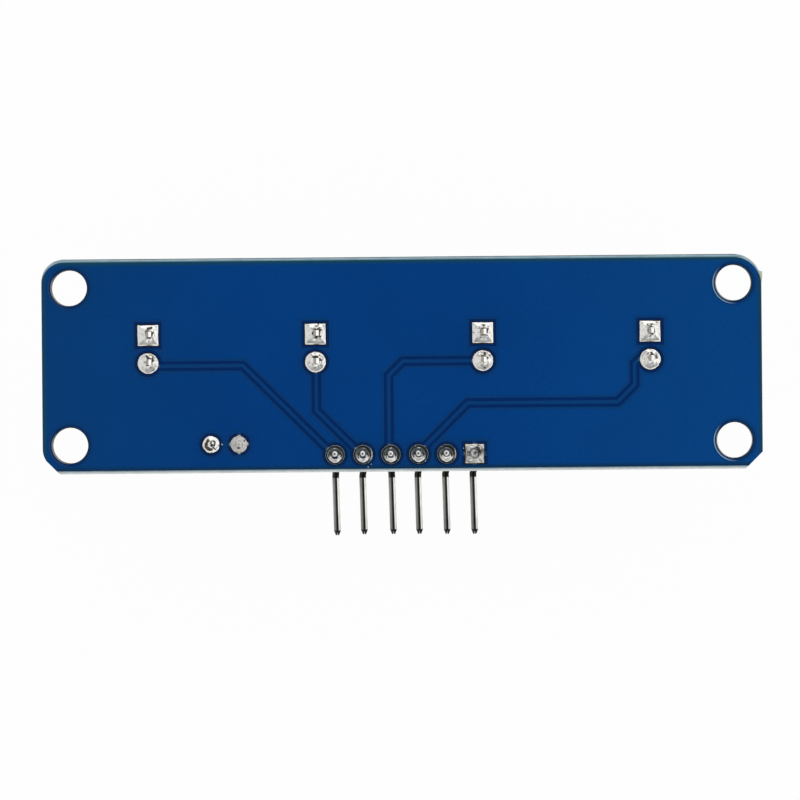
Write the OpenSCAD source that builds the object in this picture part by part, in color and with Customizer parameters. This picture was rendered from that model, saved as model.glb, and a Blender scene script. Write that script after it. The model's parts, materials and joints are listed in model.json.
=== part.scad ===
// LED indicator module: four 10 mm lamps with their resistors, a smoothing capacitor and a
// bent pin header on one narrow two-sided circuit board.
// The solder side faces up (+Z) and the lamps hang below it, as the module lies on a bench.
// The origin is the centre of the four mounting holes, on the laminate's solder-side face.
// X runs along the board, and the header's pins point along -Y. Every size is in millimetres.

/* [Board] */
// Length of the board
board_l = 65.55; // [64:0.05:100]
// Width of the board between its scored edges
board_w = 19.57; // [19:0.01:40]
// Thickness of the bare laminate
core_t = 1.5; // [0.8:0.1:2.4]
// Radius of the far left corner
left_r = 2.05; // [1:0.05:2.4]
// Radius of the far right corner
right_r = 2.6; // [1:0.05:2.7]
// Leg of the 45 degree cuts across the two near corners
corner_cut = 1.55; // [0.5:0.05:2]
// Radius that blends the near left cut into the board's end
blend_r = 1.9; // [0.5:0.05:2.5]
// Width of the bevel that the score groove leaves along both long edges
score_w = 0.28; // [0.1:0.01:0.5]
// Depth of that bevel
score_d = 0.5; // [0.2:0.05:0.6]
// Diameter of the mounting holes
hole_d = 3.24; // [2.2:0.01:4]
// From the board's ends to the mounting holes' centres
hole_inset_x = 2.525; // [2.3:0.005:5]
// From the scored edges to the mounting holes' centres
hole_inset_y = 2.62; // [2.4:0.01:5]

/* [Copper and mask] */
// Thickness of the copper foil on each face
foil_t = 0.035; // [0.018:0.001:0.07]
// Thickness of the solder mask over the foil
mask_t = 0.025; // [0.015:0.001:0.05]
// Wall of the copper plating in the drilled holes
plating_t = 0.025; // [0.018:0.001:0.05]
// Width of a track
track_w = 0.3; // [0.2:0.01:0.6]
// Width of the isolation gap round a track or pad
track_gap = 0.3; // [0.2:0.01:0.4]
// How far the ground plane keeps back from the board's ends
pour_end = 0.4; // [0.2:0.05:1]
// How far the ground plane keeps back from the mask's long edges
pour_side = 0.15; // [0.1:0.05:0.5]
// How far the ground plane keeps back from a mounting hole
pour_hole = 0.3; // [0.2:0.05:0.6]
// How much larger than its pad a mask opening is, on each side
mask_open = 0.1; // [0.04:0.01:0.14]
// How far the mask keeps back from a mounting hole
mask_hole = 0.1; // [0.05:0.01:0.2]
// Width of the four spokes that tie a ground pad to the plane
spoke_w = 0.35; // [0.2:0.05:0.5]
// Mask left standing against the copper on each side of a gap
mask_side = 0.015; // [0.01:0.005:0.03]
// How far beside a gap the mask is thinner than elsewhere
shoulder_w = 0.2; // [0.05:0.05:0.3]
// How much thinner it is there
shoulder_t = 0.01; // [0.004:0.001:0.012]

/* [Lamps] */
// Spacing of the lamps along the board
lamp_pitch = 15.24; // [12:0.01:15.6]
// How far the lamp row's middle lies to the right of the board's
lamp_shift = -0.25; // [-0.5:0.01:0.5]
// From the far edge to the lamps' centre line
lamp_inset = 8.255; // [8:0.005:12]
// Diameter of a lamp's lens
lens_d = 10; // [8:0.1:11]
// Height of a lamp from the board to the top of its dome
lens_h = 13; // [12.6:0.1:16]
// How far the flange stands out from the lens
flange_out = 0.5; // [0.3:0.05:0.7]
// Thickness of the flange
flange_t = 1.6; // [1:0.1:2.5]
// Side of a lamp's square leads
lead_w = 0.5; // [0.4:0.01:0.6]
// Spacing of a lamp's two leads
lead_pitch = 2.54; // [2.3:0.01:3]
// How far the lamps lean to the right in their holes
lamp_play_x = 0.08; // [0:0.01:0.1]
// How far they lean towards the far edge
lamp_play_y = 0.1; // [0:0.01:0.1]
// Clearance between a lead's corner and the plated hole
lead_fit = 0.05; // [0.03:0.01:0.1]
// Size of a lamp's pads
lamp_pad = 1.9; // [1.5:0.05:2]
// How far the cut leads stand out of the solder side
lamp_cut = 1.1; // [0.9:0.05:1.8]
// How deep the cutter's two slopes go down from the ridge of a cut lead
cut_slope = 0.16; // [0.05:0.01:0.25]

/* [Resistors] */
// Length of a chip resistor
chip_l = 2; // [1.6:0.05:2.4]
// Width of a chip resistor
chip_w = 1.25; // [0.8:0.05:1.6]
// Thickness of a chip resistor
chip_t = 0.5; // [0.4:0.05:0.7]
// Length of a chip's metal ends along its faces
chip_end = 0.4; // [0.3:0.05:0.6]
// Thickness of that metal
chip_metal = 0.04; // [0.02:0.01:0.08]
// How far a chip's pads reach beyond its ends
chip_land = 0.35; // [0.2:0.05:0.5]
// Solder between a chip and its pads
chip_film = 0.04; // [0.03:0.01:0.08]

/* [Capacitor] */
// Diameter over the sleeve
cap_d = 5; // [4:0.1:5.2]
// Height of the can
cap_h = 11.5; // [9:0.1:11.5]
// Gap between the capacitor and the board
cap_stand = 0.5; // [0.2:0.1:0.8]
// From the board's left end to the capacitor's centre
cap_inset_x = 16.6; // [15:0.05:18]
// From the near edge to the capacitor's centre
cap_inset_y = 2.6; // [2.6:0.05:4]
// Spacing of its leads
cap_pitch = 2.54; // [2:0.01:2.8]
// Diameter of its leads
cap_lead_d = 0.5; // [0.4:0.05:0.6]
// Clearance between a lead and its plated hole
cap_fit = 0.07; // [0.03:0.01:0.15]
// Wall of the aluminium can
can_wall = 0.3; // [0.2:0.05:0.4]
// Wall of the plastic sleeve
sleeve_wall = 0.12; // [0.08:0.01:0.2]
// Thickness of the rubber bung
bung_t = 1.5; // [1.2:0.1:2]
// Diameter of its pads
cap_pad = 1.55; // [1.3:0.05:1.7]
// How far its cut leads stand out of the solder side
cap_cut = 0.8; // [0.7:0.05:1.2]

/* [Header] */
// Spacing of the header's pins
pin_pitch = 2.54; // [2:0.01:3.1]
// How far the pin row's middle lies to the right of the board's
header_shift = 0.19; // [-0.5:0.01:0.5]
// From the near edge to the pin row
header_inset = 1.575; // [1.5:0.005:3]
// Side of the square pins
pin_w = 0.64; // [0.5:0.01:0.8]
// Width of the plastic strip
strip_w = 2.5; // [2.2:0.05:2.6]
// Height of the plastic strip
strip_h = 2.54; // [1.5:0.01:3]
// How far the strip sits askew in its holes, in degrees
header_skew = 0.7; // [0:0.1:1]
// Radius of the pins' bend, at their middle
bend_r = 1.9; // [1:0.1:2.5]
// How far the pins reach from their row to their tips
pin_reach = 7.5; // [5:0.1:12]
// How far the legs stand out of the solder side
pin_cut = 1.3; // [1.1:0.05:1.8]
// Length of the tapered tips
pin_taper = 0.45; // [0.2:0.05:0.8]
// Clearance between a leg's corner and its plated hole
pin_fit = 0.03; // [0.02:0.01:0.1]
// Size of the header's pads
header_pad = 1.75; // [1.6:0.05:1.8]
// Diameter of the solder on a round header pad
header_mound = 1.45; // [1.4:0.05:1.6]

/* [Hidden] */
$fn = 64;
lamps = 4;
pins = 6;
eps = 0.01;
far_y = board_w / 2;
near_y = -board_w / 2;
mask_y = far_y - score_w;
// The blend's arc reaches a little past the near left cut, so the two meet at a clear corner
blend_reach = 0.03;
blend_y = far_y - corner_cut - blend_r * tan(22.5) + sqrt(2) * blend_reach;
front_z = -core_t;
seat = foil_t + mask_t;
lamp_y = far_y - lamp_inset;
cap_x = cap_inset_x - board_l / 2;
cap_y = near_y + cap_inset_y;
row_y = near_y + header_inset;
lead_hole_r = lead_w / sqrt(2) + norm([lamp_play_x, lamp_play_y]) + lead_fit;
cap_hole_r = cap_lead_d / 2 + cap_fit;
skew_shift = (pins - 1) / 2 * pin_pitch * sin(header_skew);
pin_hole_r = pin_w / sqrt(2) + skew_shift + pin_fit;
flange_r = lens_d / 2 + flange_out;
chip_x = lamp_pitch / 2;
bus_clear = 0.7;
bus_y = lamp_y - flange_r - bus_clear;

function lamp_x(k) = lamp_shift + (k - (lamps - 1) / 2) * lamp_pitch;
// Pad of lamp k: side 1 is the square one for the anode, side -1 the round one
function lamp_pad_at(k, side) = [lamp_x(k), lamp_y + side * lead_pitch / 2];
// Pad of the capacitor: side -1 is positive, side 1 is ground
function cap_pad_at(side) = [cap_x + side * cap_pitch / 2, cap_y];
// Pad of pin j, from the left: the last one is ground, and the one before it is the supply
function pin_at(j) = [header_shift + (j - (pins - 1) / 2) * pin_pitch, row_y];
function chip_at(k) = [lamp_x(k) + chip_x, lamp_y];
// Middle of a chip's pad: side 1 goes to its lamp, side -1 to the supply
function chip_pad_at(k, side) = chip_at(k) + [0, side * (chip_l / 2 + chip_land / 2 - chip_end / 2)];

// Every drilled pad: place, size, square or round, tied to ground or not, radius of its plated hole
PADS = concat(
    [for (k = [0 : lamps - 1]) [lamp_pad_at(k, 1), lamp_pad, true, false, lead_hole_r]],
    [for (k = [0 : lamps - 1]) [lamp_pad_at(k, -1), lamp_pad, false, false, lead_hole_r]],
    [for (s = [-1, 1]) [cap_pad_at(s), cap_pad, false, s > 0, cap_hole_r]],
    [for (j = [0 : pins - 1]) [pin_at(j), header_pad, j == pins - 1, j == pins - 1, pin_hole_r]]
);

// Routes of the solder side's tracks, from each lamp's round pad a to its pin's pad b.
// A slant is a stretch at 45 degrees; it runs a little to the left of its pin's middle.
slant_aside = 0.07;
first_drop = 0.275;
second_aside = 0.05;
third_aside = -0.15;
third_bend = 1.3;
lane_aside = -1.45;
lane_drop = 3.855;
lane_bend = 1.545;
lane_start = 0.4;
function across_then_slant(a, b) =
    let (y = a.y - first_drop, e = b - [slant_aside, slant_aside])
    [[a.x, y], [e.x - (y - e.y), y], e];
function down_then_slant(a, b) =
    let (x = a.x + second_aside, e = b - [slant_aside, slant_aside])
    [[x, a.y], [x, e.y + (e.x - x)], e];
function across_then_down(a, b) =
    let (x = b.x + third_aside)
    [a, [x + third_bend, a.y], [x, a.y - third_bend], [x, b.y]];
function along_the_lane(a, b) =
    let (x = a.x + lane_aside, y = a.y - lane_drop, e = b + [-slant_aside, slant_aside])
    [a, [x + lane_start, a.y], [x, a.y - lane_start], [x, y + lane_bend], [x - lane_bend, y],
     [e.x + (y - e.y), y], e];
BACK_ROUTES = [
    across_then_slant(lamp_pad_at(0, -1), pin_at(0)),
    down_then_slant(lamp_pad_at(1, -1), pin_at(1)),
    across_then_down(lamp_pad_at(2, -1), pin_at(2)),
    along_the_lane(lamp_pad_at(3, -1), pin_at(3))
];

// Routes of the component side's tracks: each lamp to its chip, then the supply bus and its branches
bus_bend = 1;
chip_bend = 1.5;
FRONT_ROUTES = concat(
    [for (k = [0 : lamps - 1]) [
        lamp_pad_at(k, 1), [chip_at(k).x - chip_bend, lamp_pad_at(k, 1).y],
        [chip_at(k).x, chip_pad_at(k, 1).y]
    ]],
    [[
        cap_pad_at(-1), [cap_pad_at(-1).x, bus_y - bus_bend], [cap_pad_at(-1).x + bus_bend, bus_y],
        [chip_at(lamps - 1).x - bus_bend, bus_y], [chip_at(lamps - 1).x, bus_y + bus_bend],
        chip_pad_at(lamps - 1, -1)
    ]],
    [for (k = [0 : lamps - 2]) [chip_pad_at(k, -1), [chip_at(k).x, bus_y]]],
    [[pin_at(pins - 2), [pin_at(pins - 2).x, bus_y]]]
);

// ---- Outlines ----

// What is routed away outside a round corner; sx and sy pick the corner, and an arc that turns
// through 45 degrees only leaves the rest of its corner to a straight cut
module corner_waste(sx, sy, r, less, y, turn = 90) {
    reach = r + 1;
    mirror([sx < 0 ? 1 : 0, 0]) mirror([0, sy < 0 ? 1 : 0])
        translate([board_l / 2 - r, y])
            difference() {
                polygon([[0, 0], [reach, 0], [reach, reach], if (turn > 45) [0, reach]]);
                circle(r - less);
            }
}

// Plan of one layer of the board, kept back from the laminate's ends and long edges
module layer_outline(back_x = 0, back_y = 0) {
    top = far_y - min(back_y, score_w);
    difference() {
        square([board_l - 2 * back_x, board_w - 2 * back_y], center = true);
        corner_waste(-1, 1, left_r, back_x, top - left_r);
        corner_waste(1, 1, right_r, back_x, top - right_r);
        corner_waste(-1, -1, blend_r, back_x, blend_y, 45);
        for (sx = [-1, 1])
            translate([sx * board_l / 2, near_y])
                rotate(45) square(sqrt(2) * corner_cut + 2 * back_x, center = true);
    }
}

module at_mounting_holes() {
    for (sx = [-1, 1], sy = [-1, 1])
        translate([sx * (board_l / 2 - hole_inset_x), sy * (board_w / 2 - hole_inset_y)])
            children();
}

function unit(v) = v / norm(v);
function left_of(v) = [-v.y, v.x];
// Point beside corner i of path p, d to its left, mitred where the path bends
function beside(p, i, d) =
    let (a = i == 0 ? unit(p[1] - p[0]) : unit(p[i] - p[i - 1]),
         b = i == len(p) - 1 ? a : unit(p[i + 1] - p[i]),
         m = unit(left_of(a) + left_of(b)))
    p[i] + m * d / (m * left_of(a));

// A strip of width w along path p
module strip(p, w) {
    polygon(concat(
        [for (i = [0 : len(p) - 1]) beside(p, i, w / 2)],
        [for (i = [len(p) - 1 : -1 : 0]) beside(p, i, -w / 2)]
    ));
}

// One drilled pad of the list, grown on every side
module pad_shape(pad, grow = 0) {
    translate(pad[0])
        if (pad[2]) square(pad[1] + 2 * grow, center = true);
        else circle(pad[1] / 2 + grow);
}

module chip_pads(grow = 0) {
    for (k = [0 : lamps - 1], side = [-1, 1])
        translate(chip_pad_at(k, side))
            square([chip_w, chip_land + chip_end] + [1, 1] * 2 * grow, center = true);
}

// Everything on one face that isn't the ground plane, grown on every side
module signal_shapes(routes, front, grow = 0) {
    for (p = routes) strip(p, track_w + 2 * grow);
    for (pad = PADS) pad_shape(pad, grow);
    if (front) chip_pads(grow);
}

// The four spokes between a ground pad and the plane, grown on every side
module spokes(grow = 0) {
    overlap = 0.1;
    for (pad = PADS) if (pad[3])
        translate(pad[0])
            for (turn = [0, 90])
                rotate(turn)
                    square([pad[1] + 2 * (track_gap + overlap + grow), spoke_w + 2 * grow], center = true);
}

module pour_outline() {
    difference() {
        layer_outline(pour_end, score_w + pour_side);
        at_mounting_holes() circle(hole_d / 2 + pour_hole);
    }
}

// ---- Board ----

// Bevel cut along a long edge at one face: side 1 is the far edge, face 1 the solder side
module score_bevel(side, face) {
    beyond = 1.2;
    translate([0, side * far_y, face > 0 ? 0 : front_z])
        rotate([90, 0, 90])
            linear_extrude(board_l + 2, center = true)
                polygon([
                    [-side * beyond * score_w, face * (beyond - 1) * score_d],
                    [side * (beyond - 1) * score_w, -face * beyond * score_d],
                    [side * 2 * score_w, face * (beyond - 1) * score_d]
                ]);
}

// The nib of laminate that was left where the board broke out of its panel
module break_nib() {
    translate([board_l / 2, far_y - right_r])
        polygon([[-0.6, -0.1], [0, -0.1], [0.08, 0.4], [0.08, 0.98], [-0.05, 1], [-0.27, 1.1]]);
}

module circuit_board() {
    color("tan")
        difference() {
            translate([0, 0, front_z]) linear_extrude(core_t) {
                layer_outline();
                break_nib();
            }
            for (side = [-1, 1], face = [-1, 1]) score_bevel(side, face);
            translate([0, 0, front_z - 1]) {
                at_mounting_holes() cylinder(d = hole_d, h = core_t + 2);
                for (pad = PADS)
                    translate(pad[0]) cylinder(r = pad[4] + plating_t, h = core_t + 2);
            }
        }
}

// The etched foil of one face, lying on z = 0: ground plane, tracks and pads
module foil(routes, front) {
    linear_extrude(foil_t)
        difference() {
            union() {
                difference() {
                    pour_outline();
                    signal_shapes(routes, front, track_gap);
                }
                signal_shapes(routes, front);
                spokes();
            }
            for (pad = PADS) translate(pad[0]) circle(pad[4] + plating_t);
        }
}

// What the mask's surface lacks: the hollows where it sinks into the gaps between the copper
// shapes, and the thinner mask on the copper's edges beside them
module mask_relief(routes, front) {
    translate([0, 0, mask_t]) linear_extrude(seat)
        difference() {
            union() {
                signal_shapes(routes, front, track_gap - mask_side);
                at_mounting_holes() circle(hole_d / 2 + pour_hole - mask_side);
            }
            signal_shapes(routes, front, mask_side);
            spokes(mask_side);
        }
    translate([0, 0, seat - shoulder_t]) linear_extrude(seat) {
        signal_shapes(routes, front, track_gap + shoulder_w);
        at_mounting_holes() circle(hole_d / 2 + pour_hole + shoulder_w);
    }
}

// The solder mask of one face, lying on z = 0: it covers the foil and fills its gaps
module mask(routes, front) {
    difference() {
        linear_extrude(seat) layer_outline(0, score_w);
        mask_relief(routes, front);
        translate([0, 0, -eps]) linear_extrude(seat + 2 * eps) {
            at_mounting_holes() circle(hole_d / 2 + mask_hole);
            for (pad = PADS) pad_shape(pad, mask_open);
            if (front) chip_pads(mask_open);
        }
        translate([0, 0, -eps]) linear_extrude(foil_t + eps) {
            difference() {
                pour_outline();
                signal_shapes(routes, front, track_gap);
            }
            signal_shapes(routes, front);
            spokes();
        }
    }
}

// Puts what is drawn on z = 0 on the component side, facing down
module on_front(lift = 0) {
    translate([0, 0, front_z - lift]) mirror([0, 0, 1]) children();
}

module copper_back() {
    color("peru") foil(BACK_ROUTES, false);
}

module copper_front() {
    color("peru") on_front() foil(FRONT_ROUTES, true);
}

module mask_back() {
    color("mediumblue") mask(BACK_ROUTES, false);
}

module mask_front() {
    color("mediumblue") on_front() mask(FRONT_ROUTES, true);
}

module plated_holes() {
    color("peru")
        for (pad = PADS)
            translate([pad[0].x, pad[0].y, front_z - foil_t])
                difference() {
                    cylinder(r = pad[4] + plating_t, h = core_t + 2 * foil_t);
                    translate([0, 0, -1]) cylinder(r = pad[4], h = core_t + 2);
                }
}

// ---- Lamps: drawn with the board at z = 0 and the dome up, then hung on the component side ----

module at_lamp(k) {
    on_front(seat) translate([lamp_x(k) + lamp_play_x, lamp_y + lamp_play_y, 0]) children();
}

// Top of a lamp's lead inside the lens, and its end on the solder side
frame_top = lens_h * 0.42;
lamp_lead_end = -(seat + core_t + lamp_cut);

// Half of the stamped frame, seen along X, in the plane of the leads: y is across, z is up.
// The cutter leaves the lead's lower end as a ridge with a slope on either side of it.
module stamped(points) {
    difference() {
        rotate([90, 0, 90]) linear_extrude(lead_w, center = true) polygon(points);
        for (side = [0, 1]) mirror([side, 0, 0])
            translate([0, lead_pitch, lamp_lead_end]) rotate([90, 0, 0])
                linear_extrude(2 * lead_pitch)
                    polygon([[0, -cut_slope], [lead_w, -cut_slope], [lead_w, 2 * cut_slope], [0, 0]]);
    }
}

// The post that the bond wire goes to: a slim head bent over at the top of the anode
post_neck = 1.1;
post_head = 0.6;
post_lean = 0.45;
module anode_frame() {
    y = lead_pitch / 2;
    h = lead_w / 2;
    stamped([
        [y - h, lamp_lead_end], [y + h, lamp_lead_end], [y + h, frame_top - 1.5 * post_head],
        [y + h - post_lean * 0.8, frame_top], [y - h - post_lean, frame_top],
        [y - h - post_lean, frame_top - post_head], [y - h, frame_top - post_neck]
    ]);
}

// The anvil that carries the chip in a cup: the wide head of the cathode
anvil_neck = 1.8;
anvil_head = 0.9;
anvil_reach = 1.55;
cup_r = 0.55;
cup_depth = 0.35;
module cathode_frame() {
    y = -lead_pitch / 2;
    h = lead_w / 2;
    lip = 0.2;
    difference() {
        stamped([
            [y - h, lamp_lead_end], [y + h, lamp_lead_end], [y + h, frame_top - anvil_neck],
            [y + anvil_reach, frame_top - anvil_head], [y + anvil_reach, frame_top],
            [y - h - lip, frame_top], [y - h - lip, frame_top - anvil_head],
            [y - h, frame_top - anvil_head - 1.5 * lip]
        ]);
        translate([0, y + cup_r, frame_top - cup_depth])
            cylinder(r1 = cup_r / 2, r2 = cup_r, h = cup_depth + eps);
    }
}

// Lens with its flange, whose outer edges are cut back a little
module lens_body() {
    r = lens_d / 2;
    draft = 0.08;
    flange_edge = 0.3;
    rotate_extrude() {
        difference() {
            union() {
                square([flange_r, flange_t]);
                polygon([[0, 0], [r + draft, flange_t - eps], [r, lens_h - r], [0, lens_h - r]]);
            }
            translate([flange_r, flange_t]) rotate(45) square(flange_edge, center = true);
        }
        intersection() {
            translate([0, lens_h - r]) circle(r);
            translate([0, lens_h - r]) square(r);
        }
    }
}

module led_lens(k) {
    tint = ["red", "gold", "limegreen", "royalblue"];
    color(tint[k % 4])
        at_lamp(k)
            difference() {
                lens_body();
                translate([-flange_r, -flange_r - flange_out, -eps])
                    cube([2 * flange_r, 2 * flange_out, flange_t + eps]);
                anode_frame();
                cathode_frame();
            }
}

module led_anode(k) {
    color("silver") at_lamp(k) anode_frame();
}

module led_cathode(k) {
    color("silver") at_lamp(k) cathode_frame();
}

// ---- Chip resistors: drawn with their pads' copper at z = 0 ----

module at_chip(k) {
    on_front(foil_t) translate([chip_at(k).x, chip_at(k).y, chip_film]) children();
}

module resistor_body(k) {
    color("black")
        at_chip(k) {
            translate([-chip_w / 2, chip_metal - chip_l / 2, chip_metal])
                cube([chip_w, chip_l - 2 * chip_metal, chip_t - 2 * chip_metal]);
            translate([-chip_w / 2, chip_end - chip_l / 2, chip_metal])
                cube([chip_w, chip_l - 2 * chip_end, chip_t - chip_metal]);
        }
}

// The metal ends wrap each end of the chip in a C
module resistor_ends(k) {
    color("silver")
        at_chip(k)
            for (side = [0, 1]) mirror([0, side, 0])
                rotate([90, 0, 90]) linear_extrude(chip_w, center = true)
                    difference() {
                        translate([chip_l / 2 - chip_end, 0]) square([chip_end, chip_t]);
                        translate([0, chip_metal])
                            square([chip_l / 2 - chip_metal, chip_t - 2 * chip_metal]);
                    }
}

// Film under each end, and the fillet that climbs its face
module resistor_solder() {
    toe = chip_l / 2 + chip_land;
    climb = chip_t * 0.8;
    color("lightgray")
        for (k = [0 : lamps - 1]) at_chip(k)
            for (side = [0, 1]) mirror([0, side, 0])
                rotate([90, 0, 90]) linear_extrude(chip_w, center = true)
                    polygon([
                        [chip_l / 2 - chip_end, -chip_film], [toe, -chip_film],
                        [toe - chip_land * 0.4, 0.02], [chip_l / 2 + chip_land * 0.25, climb * 0.4],
                        [chip_l / 2, climb], [chip_l / 2, 0], [chip_l / 2 - chip_end, 0]
                    ]);
}

// ---- Capacitor: drawn standing on the board at z = 0 ----

module at_capacitor() {
    on_front(seat) translate([cap_x, cap_y, 0]) children();
}

can_r = cap_d / 2 - sleeve_wall;
groove_z = cap_stand + bung_t * 0.6;
groove_in = 0.25;
cap_lead_end = -(seat + core_t + cap_cut);

// Deep-drawn can with its rolled groove and its turned-in mouth
module can_profile(r, wall) {
    difference() {
        polygon([
            [0, cap_stand], [r - 0.2, cap_stand], [r, cap_stand + 0.25], [r, groove_z - 0.3],
            [r - groove_in, groove_z], [r, groove_z + 0.3], [r, cap_stand + cap_h - 0.3],
            [r - 0.3, cap_stand + cap_h], [0, cap_stand + cap_h]
        ]);
        translate([0, cap_stand - eps]) square([r - groove_in - wall, bung_t + eps]);
    }
}

// The can is sealed, and what it holds can't be seen: foil winding and can are one solid
module capacitor_can() {
    color("gainsboro")
        at_capacitor()
            difference() {
                rotate_extrude() can_profile(can_r, can_wall);
                for (side = [-1, 1]) cap_lead_bore(side);
            }
}

// A lead ends in the winding, just above the bung
module cap_lead_bore(side) {
    translate([side * cap_pitch / 2, 0, cap_lead_end])
        cylinder(d = cap_lead_d, h = cap_stand + bung_t + 1 - cap_lead_end);
}

// The shrunk sleeve follows the groove and laps over both ends of the can
module capacitor_sleeve() {
    r = cap_d / 2;
    lap = 0.6;
    color("midnightblue")
        at_capacitor()
            rotate_extrude()
                difference() {
                    polygon([
                        [r - lap, cap_stand - sleeve_wall], [r - 0.15, cap_stand - sleeve_wall],
                        [r, cap_stand + 0.2], [r, groove_z - 0.3], [r - groove_in, groove_z],
                        [r, groove_z + 0.3], [r, cap_stand + cap_h - 0.25],
                        [r - 0.25, cap_stand + cap_h + sleeve_wall],
                        [r - lap, cap_stand + cap_h + sleeve_wall]
                    ]);
                    polygon([
                        [0, cap_stand], [can_r - 0.2, cap_stand], [can_r, cap_stand + 0.25],
                        [can_r, groove_z - 0.3], [can_r - groove_in, groove_z],
                        [can_r, groove_z + 0.3], [can_r, cap_stand + cap_h - 0.3],
                        [can_r - 0.3, cap_stand + cap_h], [0, cap_stand + cap_h]
                    ]);
                }
}

module capacitor_bung() {
    color("dimgray")
        at_capacitor()
            difference() {
                translate([0, 0, cap_stand])
                    cylinder(r = can_r - groove_in - can_wall, h = bung_t);
                for (side = [-1, 1]) cap_lead_bore(side);
            }
}

module capacitor_lead(side) {
    color("silver") at_capacitor() cap_lead_bore(side);
}

// ---- Header: drawn with the strip standing on the board at z = 0, turned by its skew ----

module at_header() {
    on_front(seat) translate([header_shift, row_y, 0]) rotate(header_skew) children();
}

function pin_offset(j) = (j - (pins - 1) / 2) * pin_pitch;
leg_end = -(seat + core_t + pin_cut);
bend_clear = 0.1;
bend_z = strip_h + bend_clear;
strip_notch = 0.45;

// Each pin has its own block of plastic, with its four corners cut off
module strip_block(corner) {
    x = pin_pitch / 2;
    y = strip_w / 2;
    linear_extrude(strip_h)
        polygon([
            [x, corner - y], [x, y - corner], [x - corner, y], [corner - x, y],
            [-x, y - corner], [-x, corner - y], [corner - x, -y], [x - corner, -y]
        ]);
}

module header_strip() {
    color([0.08, 0.08, 0.09])
        at_header()
            difference() {
                for (j = [0 : pins - 1]) translate([pin_offset(j), 0, 0]) strip_block(strip_notch);
                for (j = [0 : pins - 1])
                    translate([pin_offset(j), 0, strip_h / 2])
                        cube([pin_w, pin_w, strip_h + 2], center = true);
            }
}

// A square bar along +Z from 0 to h, with its upper end tapered on all four sides
module tapered_bar(h) {
    outline = [
        [-pin_w / 2, 0], [pin_w / 2, 0], [pin_w / 2, h - pin_taper],
        [pin_w / 4, h], [-pin_w / 4, h], [-pin_w / 2, h - pin_taper]
    ];
    intersection() {
        rotate([90, 0, 0]) linear_extrude(pin_w, center = true) polygon(outline);
        rotate([90, 0, 90]) linear_extrude(pin_w, center = true) polygon(outline);
    }
}

// A leg up through the board, the bend above the strip, and the run out past the near edge
module pin_solid(j) {
    translate([pin_offset(j), 0, 0]) {
        translate([0, 0, bend_z]) mirror([0, 0, 1]) tapered_bar(bend_z - leg_end);
        translate([0, -bend_r, bend_z]) rotate([90, 0, 90])
            rotate_extrude(angle = 90)
                translate([bend_r, 0]) square(pin_w, center = true);
        translate([0, -bend_r, bend_z + bend_r]) rotate([90, 0, 0])
            tapered_bar(pin_reach - bend_r);
    }
}

module header_pin(j) {
    color("silver") at_header() pin_solid(j);
}

// ---- Solder ----

// How far below a lead's end its solder stops, and how hollow the joints' sides are: 1 is a cone
lamp_bare = 0.4;
cap_bare = 0.1;
pin_bare = 0.35;
lamp_hollow = 3;
cap_hollow = 1.4;
pin_hollow = 1.3;
square_hollow = 3.5;

// Solder that fills its plated hole, rolls over at radius r and climbs to radius top_r
module joint(r, hole_r, rise, top_r, hollow) {
    steps = 7;
    bead = 0.06;
    rotate_extrude()
        polygon(concat(
            [[0, front_z - foil_t], [hole_r, front_z - foil_t], [hole_r, foil_t], [r, foil_t],
             [r, foil_t + bead / 2], [r - bead / 2, foil_t + bead]],
            [for (i = [1 : steps]) let (t = i / steps)
                [top_r + (r - bead - top_r) * pow(1 - t, hollow), foil_t + bead + (rise - bead) * t]],
            [[0, foil_t + rise]]
        ));
}

// The same on a square pad of side a
module square_joint(a, hole_r, rise, top_r) {
    intersection() {
        joint(a / sqrt(2), hole_r, rise, top_r, square_hollow);
        translate([0, 0, front_z - 1]) linear_extrude(core_t + rise + 2) square(a, center = true);
    }
}

module led_solder() {
    rise = lamp_cut - lamp_bare;
    top_r = lead_w * 0.9;
    color("lightgray")
        for (k = [0 : lamps - 1])
            difference() {
                union() {
                    translate(lamp_pad_at(k, -1)) joint(lamp_pad / 2, lead_hole_r, rise, top_r, lamp_hollow);
                    translate(lamp_pad_at(k, 1)) square_joint(lamp_pad, lead_hole_r, rise, top_r);
                }
                at_lamp(k) {
                    anode_frame();
                    cathode_frame();
                }
            }
}

module capacitor_solder() {
    color("lightgray")
        difference() {
            for (side = [-1, 1])
                translate(cap_pad_at(side))
                    joint(cap_pad / 2, cap_hole_r, cap_cut - cap_bare, cap_lead_d * 0.7, cap_hollow);
            at_capacitor() for (side = [-1, 1]) cap_lead_bore(side);
        }
}

module header_solder() {
    rise = pin_cut - pin_bare;
    top_r = pin_w * 0.75;
    color("lightgray")
        difference() {
            for (j = [0 : pins - 1])
                translate(pin_at(j))
                    if (j == pins - 1) square_joint(header_pad, pin_hole_r, rise, top_r);
                    else joint(header_mound / 2, pin_hole_r, rise, top_r, pin_hollow);
            at_header() for (j = [0 : pins - 1]) pin_solid(j);
        }
}

circuit_board();
copper_back();
copper_front();
plated_holes();
mask_back();
mask_front();
for (k = [0 : lamps - 1]) {
    led_lens(k);
    led_anode(k);
    led_cathode(k);
    resistor_body(k);
    resistor_ends(k);
}
capacitor_can();
capacitor_sleeve();
capacitor_bung();
capacitor_lead(-1);  // capacitor_lead_positive
capacitor_lead(1);  // capacitor_lead_negative
header_strip();
for (j = [0 : pins - 1])
    header_pin(j);
led_solder();
capacitor_solder();
header_solder();
resistor_solder();
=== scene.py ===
# %% [markdown]
# # LED indicator module
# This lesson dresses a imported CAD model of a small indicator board: a blue circuit board seen from
# its solder side, with four lamps hanging below it and a row of six square pins along one edge.
# The CAD solids already have the right size and place, so most of them only need a finish. The
# solder joints and the pins are worth modelling again, because molten solder and drawn wire have
# soft shapes that a CAD profile only hints at.

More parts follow.
